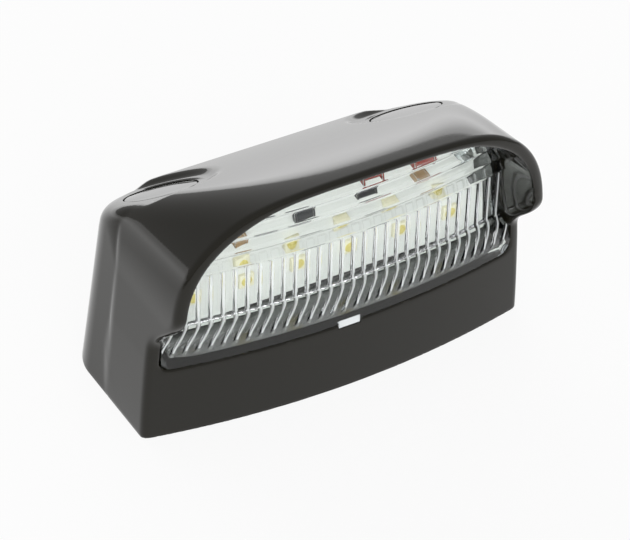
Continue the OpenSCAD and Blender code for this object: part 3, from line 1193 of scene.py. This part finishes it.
@dataclass
class ScrewCap:
    """A round plug over one screw well: a low domed disc on a skirt. Sizes are in mm."""

    housing: Housing
    side: float
    radius: float = 7.7
    disc: float = 1.4
    skirt: float = 2.2
    skirt_wall: float = 1.0
    skirt_edge: float = 0.2
    edge_r: float = 0.4
    dome: float = 0.18
    dome_midway: float = 0.78
    sharp: float = 40.0

    def build(self) -> bpy.types.Object:
        """Make the cap.

        Returns:
            The piece that replaces the cap's node.
        """
        shape = bmesh.new()
        midway = (self.radius * 0.5, self.dome * self.dome_midway)
        rows = [(0.0, self.dome), midway, (self.radius - self.edge_r, 0.0)]
        for turn in (30, 60, 90):
            a = math.radians(turn)
            rows.append((self.radius - self.edge_r * (1 - math.sin(a)), -self.edge_r * (1 - math.cos(a))))
        foot = -self.disc - self.skirt
        rows += [(self.radius, foot + self.skirt_edge), (self.radius - self.skirt_edge, foot)]
        inner = self.radius - self.skirt_wall
        rows += [(inner, foot), (inner, -self.disc), (0.0, -self.disc)]
        line = [shape.verts.new((r * MM, 0, z * MM)) for r, z in rows]
        edges = [shape.edges.new(pair) for pair in zip(line, line[1:], strict=False)]
        bmesh.ops.spin(
            shape, geom=line + edges, axis=(0, 0, 1), angle=2 * math.pi, steps=96, use_merge=True
        )
        bmesh.ops.remove_doubles(shape, verts=shape.verts, dist=1e-6)
        bmesh.ops.recalc_face_normals(shape, faces=shape.faces)
        shape.transform(self.housing.ledge(self.side))
        name = "screw_cap_left" if self.side < 0 else "screw_cap_right"
        piece = piece_of("domed_" + name, shape, CAP_BLACK.build())
        piece.data.set_sharp_from_angle(angle=math.radians(self.sharp))
        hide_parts(name)
        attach(piece, "root")
        return piece


# Light board


@dataclass
class LightBoard:
    """What stands on the front of the board. Sizes are in mm, and shares are of a part's own box."""

    end_bevel: float = 0.12
    chip_bevel: float = 0.05
    chip_end: float = 0.6
    chip_inset: float = 0.06
    diode_end: float = 0.55
    glass_share: float = 0.44
    light_bevel: float = 0.15
    gel_share: float = 0.36
    gel_dome: float = 0.12
    sharp: float = 50.0

    def bar(self, shape: bmesh.types.BMesh, low: Vector, high: Vector, bevel: float, index: int) -> None:
        """Add a soft-edged bar to a mesh.

        Args:
            shape: the mesh.
            low: the bar's lowest corner in metres.
            high: its highest corner in metres.
            bevel: the rounding of its edges, in mm.
            index: the number of its material.
        """
        made = bmesh.ops.create_cube(shape, size=1.0)["verts"]
        bmesh.ops.scale(shape, vec=high - low, verts=made)
        bmesh.ops.translate(shape, vec=(high + low) / 2, verts=made)
        edges = list({e for v in made for e in v.link_edges})
        faces = {f for v in made for f in v.link_faces}
        grown = bmesh.ops.bevel(
            shape,
            geom=edges,
            offset=bevel * MM,
            segments=2,
            profile=0.5,
            affect="EDGES",
            material=-1,
        )
        for face in [f for f in faces if f.is_valid] + grown["faces"]:
            face.material_index = index

    def ends(self, shape: bmesh.types.BMesh, low: Vector, high: Vector, length: float) -> None:
        """Add the two plated ends of a component to its mesh.

        Args:
            shape: the mesh.
            low: the component's lowest corner in metres.
            high: its highest corner in metres.
            length: how long each end is, in metres.
        """
        self.bar(shape, low, Vector((low.x + length, high.y, high.z)), self.end_bevel, 1)
        self.bar(shape, Vector((high.x - length, low.y, low.z)), high, self.end_bevel, 1)

    def finish(self, name: str, shape: bmesh.types.BMesh, *materials: bpy.types.Material) -> bpy.types.Object:
        """Turn a component's mesh into the piece that replaces its node.

        Args:
            name: the node's name.
            shape: the mesh, whose faces have their materials' numbers.
            materials: the materials in order.

        Returns:
            The piece.
        """
        piece = piece_of("fitted_" + name, shape, *materials)
        piece.data.set_sharp_from_angle(angle=math.radians(self.sharp))
        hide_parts(name)
        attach(piece, "root")
        return piece

    def chip(self, name: str, body: bpy.types.Material, tin: bpy.types.Material) -> bpy.types.Object:
        """Make a chip with two plated ends over its node's box.

        Args:
            name: the node's name.
            body: its body's material.
            tin: its ends' material.

        Returns:
            The piece.
        """
        low, high = (Vector(v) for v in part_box(name))
        shape = bmesh.new()
        inset, end = self.chip_inset * MM, self.chip_end * MM
        inner_low = Vector((low.x + end / 2, low.y + inset, low.z + inset))
        inner_high = Vector((high.x - end / 2, high.y, high.z - inset))
        self.bar(shape, inner_low, inner_high, self.chip_bevel, 0)
        self.ends(shape, low, high, end)
        return self.finish(name, shape, body, tin)

    def diode(self, name: str, glass: bpy.types.Material, tin: bpy.types.Material) -> bpy.types.Object:
        """Make a glass diode: a round body between two square plated ends.

        Args:
            name: the node's name.
            glass: its body's material.
            tin: its ends' material.

        Returns:
            The piece.
        """
        low, high = (Vector(v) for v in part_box(name))
        shape = bmesh.new()
        end = self.diode_end * MM
        radius = (high.z - low.z) * self.glass_share
        bmesh.ops.create_cone(
            shape,
            cap_ends=True,
            segments=40,
            radius1=radius,
            radius2=radius,
            depth=high.x - low.x - end,
            matrix=Matrix.Translation((low + high) / 2) @ Matrix.Rotation(math.pi / 2, 4, "Y"),
        )
        self.ends(shape, low, high, end)
        return self.finish(name, shape, glass, tin)

    def light_chip(self, name: str, body: bpy.types.Material, gel: bpy.types.Material) -> bpy.types.Object:
        """Make a light chip: a white body with a round pool of yellow phosphor.

        Args:
            name: the node's name.
            body: its body's material.
            gel: the pool's material.

        Returns:
            The piece.
        """
        low, high = (Vector(v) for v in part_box(name))
        shape = bmesh.new()
        self.bar(shape, low, high, self.light_bevel, 0)
        middle = Vector(((low.x + high.x) / 2, low.y, (low.z + high.z) / 2))
        made = bmesh.ops.create_uvsphere(
            shape,
            u_segments=32,
            v_segments=16,
            radius=(high.x - low.x) * self.gel_share,
            matrix=Matrix.Translation(middle) @ Matrix.Diagonal((1, self.gel_dome, 1, 1)),
        )["verts"]
        for face in {f for v in made for f in v.link_faces}:
            face.material_index = 1
        return self.finish(name, shape, body, gel)

    def build(self) -> list[bpy.types.Object]:
        """Make every component.

        Returns:
            The pieces that replace the components' nodes.
        """
        tin, glass, gel = TIN.build(), DIODE_GLASS.build(), PHOSPHOR.build()
        black, brown, white = CHIP_BLACK.build(), CERAMIC.build(), LED_BODY.build()
        pieces = [self.chip(f"resistor_{k}", black, tin) for k in (1, 2, 3, 4)]
        pieces += [self.chip(f"capacitor_{k}", brown, tin) for k in (1, 2)]
        pieces += [self.diode(f"diode_{k}", glass, tin) for k in (1, 2)]
        pieces += [self.light_chip(f"led_{k}", white, gel) for k in range(1, 7)]
        return pieces


# Scene


def dress_nodes() -> None:
    """Give each node of the model that stays its finish."""
    finishes = {
        "housing": GLOSS_BLACK,
        "screw_cap": CAP_BLACK,
        "lens": CLEAR_LENS,
        "base_plate": PLATE_BLACK,
        "base_seal": RUBBER,
        "cable_grommet": RUBBER,
        "circuit_board": WHITE_MASK,
        "led": LED_BODY,
        "resistor": CHIP_BLACK,
        "diode": DIODE_GLASS,
        "capacitor": CERAMIC,
    }
    for kind, finish in finishes.items():
        material = finish.build()
        for obj in bpy.data.objects:
            if obj.type == "MESH" and (obj.name == kind or obj.name.startswith(kind + "_")):
                for place in obj.material_slots:
                    place.material = material


@dataclass(frozen=True)
class Studio:
    """The plain pale floor, the soft lamps and the camera. Lengths are in metres, angles in degrees."""

    # Camera: the point it looks at, its way round and up from there, its tilt and its distance
    aim: tuple[float, float, float] = (0.008114, 0.0, 0.008263)
    azimuth: float = -121.668
    elevation: float = 38.364
    roll: float = 2.139
    distance: float = 0.69159
    lens_mm: float = 187.157
    # Floor: half its width and how much of it is plain white to the eye
    floor_half: float = 1.5
    floor_plain: float = 0.9
    # In reflections the floor darkens from the lamp toward the eye, and brightens behind the lamp
    dark_span: tuple[float, float] = (0.2, 0.5)
    darkest: float = 0.65
    bright_span: tuple[float, float] = (0.07, 0.24)
    brightest: float = 2.1
    # World: its strength as plain light, and what is left of its full strength in reflections
    sky_light: float = 0.45
    sky_gloss: float = 0.56

    def axes(self) -> Matrix:
        """Work out the camera's turn from its angles.

        Returns:
            The turn, whose columns are the camera's right, up and back.
        """
        a, e, r = (math.radians(v) for v in (self.azimuth, self.elevation, self.roll))
        back = Vector((math.cos(e) * math.cos(a), math.cos(e) * math.sin(a), math.sin(e)))
        level = Vector((-math.sin(a), math.cos(a), 0.0))
        upright = back.cross(level)
        right = level * math.cos(r) + upright * math.sin(r)
        up = upright * math.cos(r) - level * math.sin(r)
        return Matrix((right, up, back)).transposed().to_4x4()

    def camera(self) -> None:
        """Set the camera at the photograph's viewing angle."""
        data = bpy.data.cameras.new("camera")
        data.lens = self.lens_mm
        data.sensor_width = 36.0
        data.clip_start = 0.01
        data.clip_end = 20.0
        made = bpy.data.objects.new("camera", data)
        made.matrix_world = (
            Matrix.Translation(self.aim) @ self.axes() @ Matrix.Translation((0, 0, self.distance))
        )
        bpy.context.scene.collection.objects.link(made)
        bpy.context.scene.camera = made

    def seen(self, tree: bpy.types.NodeTree) -> bpy.types.NodeSocket:
        """Tell what the eye sees, straight, mirrored or through the lens, from what only lights.

        Args:
            tree: the node tree.

        Returns:
            A socket that is 1 for what is seen and 0 for the rest.
        """
        path = node(tree, "ShaderNodeLightPath")
        level = path.outputs["Is Camera Ray"]
        for ray in ("Is Glossy Ray", "Is Transmission Ray"):
            level = math_node(tree, "MAXIMUM", level, path.outputs[ray])
        return level

    def lay_floor(self) -> None:
        """Lay a floor that looks white to the eye and in reflections, and keeps the lamp's shadow."""
        shape = bmesh.new()
        bmesh.ops.create_grid(shape, x_segments=1, y_segments=1, size=self.floor_half)
        material, tree, output = new_material("pale_floor")
        lit = node(tree, "ShaderNodeBsdfDiffuse", Color=srgb("F0F0F0"))
        place = node(tree, "ShaderNodeTexCoord").outputs["Object"]
        apart = node(tree, "ShaderNodeSeparateXYZ", Vector=place)
        gloss = node(tree, "ShaderNodeLightPath").outputs["Is Glossy Ray"]
        near = math_node(tree, "MINIMUM", apart.outputs["Y"], 0.0)
        flat = node(tree, "ShaderNodeCombineXYZ", X=apart.outputs["X"], Y=near)
        reach = node(tree, "ShaderNodeVectorMath", {"operation": "LENGTH"}, in_0=flat.outputs["Vector"])
        fall = scaled(tree, reach.outputs["Value"], self.dark_span, (0.0, self.darkest), "SMOOTHSTEP")
        glow = scaled(tree, apart.outputs["Y"], self.bright_span, (1.0, self.brightest))
        dim = math_node(tree, "MULTIPLY", fall, gloss)
        rear = math_node(tree, "POWER", glow, gloss)
        level = math_node(tree, "SUBTRACT", rear, dim)
        plain = node(tree, "ShaderNodeEmission", Color=srgb("FFFFFF"), Strength=level)
        mix = node(
            tree,
            "ShaderNodeMixShader",
            in_0=scaled(tree, self.seen(tree), (0.0, 1.0), (0.0, self.floor_plain)),
            in_1=lit.outputs["BSDF"],
            in_2=plain.outputs["Emission"],
        )
        tree.links.new(mix.outputs["Shader"], output.inputs["Surface"])
        ground = piece_of("floor", shape, material)

    def lamp(
        self, name: str, at: tuple[float, float, float], size: tuple[float, float], power: float
    ) -> None:
        """Hang one soft rectangular lamp that looks at the middle of the object.

        Args:
            name: the lamp's name.
            at: its place in metres.
            size: its width and height in metres.
            power: its power in watts.
        """
        data = bpy.data.lights.new(name, "AREA")
        data.shape = "RECTANGLE"
        data.size, data.size_y = size
        data.energy = power
        made = bpy.data.objects.new(name, data)
        # Its own face would show in the gloss as a hard white square, which the photograph hasn't.
        made.visible_glossy = False
        middle = Vector((0, 0, 0.03))
        made.location = at
        made.rotation_euler = (Vector(at) - middle).to_track_quat("Z", "Y").to_euler()
        bpy.context.scene.collection.objects.link(made)

    def light(self) -> None:
        """Hang the lamps and set the white world."""
        self.lamp("key", (-0.35, -1.0, 0.5), (1.2, 1.0), 10.0)
        self.lamp("back_sky", (0.1, 0.9, 0.55), (1.4, 0.8), 6.0)
        world = bpy.data.worlds.new("white_surroundings")
        world.use_nodes = True
        tree = world.node_tree
        tree.nodes.clear()
        output = tree.nodes.new("ShaderNodeOutputWorld")
        gloss = node(tree, "ShaderNodeLightPath").outputs["Is Glossy Ray"]
        plain = scaled(tree, self.seen(tree), (0.0, 1.0), (self.sky_light, 1.0))
        strength = math_node(tree, "MULTIPLY", plain, scaled(tree, gloss, (0.0, 1.0), (1.0, self.sky_gloss)))
        sky = node(tree, "ShaderNodeBackground", Color=srgb("FFFFFF"), Strength=strength)
        tree.links.new(sky.outputs["Background"], output.inputs["Surface"])
        bpy.context.scene.world = world

    def build(self) -> None:
        """Set up everything round the object."""
        self.camera()
        self.lay_floor()
        self.light()
        bpy.context.scene.view_settings.view_transform = "Standard"


def main() -> None:
    """Build the lamp and its studio, and report each piece."""
    logging.basicConfig(level=logging.INFO, format="%(name)s: %(message)s")
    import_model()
    Studio().build()
    dress_nodes()
    form = Housing()
    pieces = [form.build(), Lens(form).build()]
    pieces += [ScrewCap(form, side).build() for side in (-1.0, 1.0)]
    pieces += LightBoard().build()
    for piece in pieces:
        log.info("%s built", piece.name)


if __name__ == "__main__":
    main()
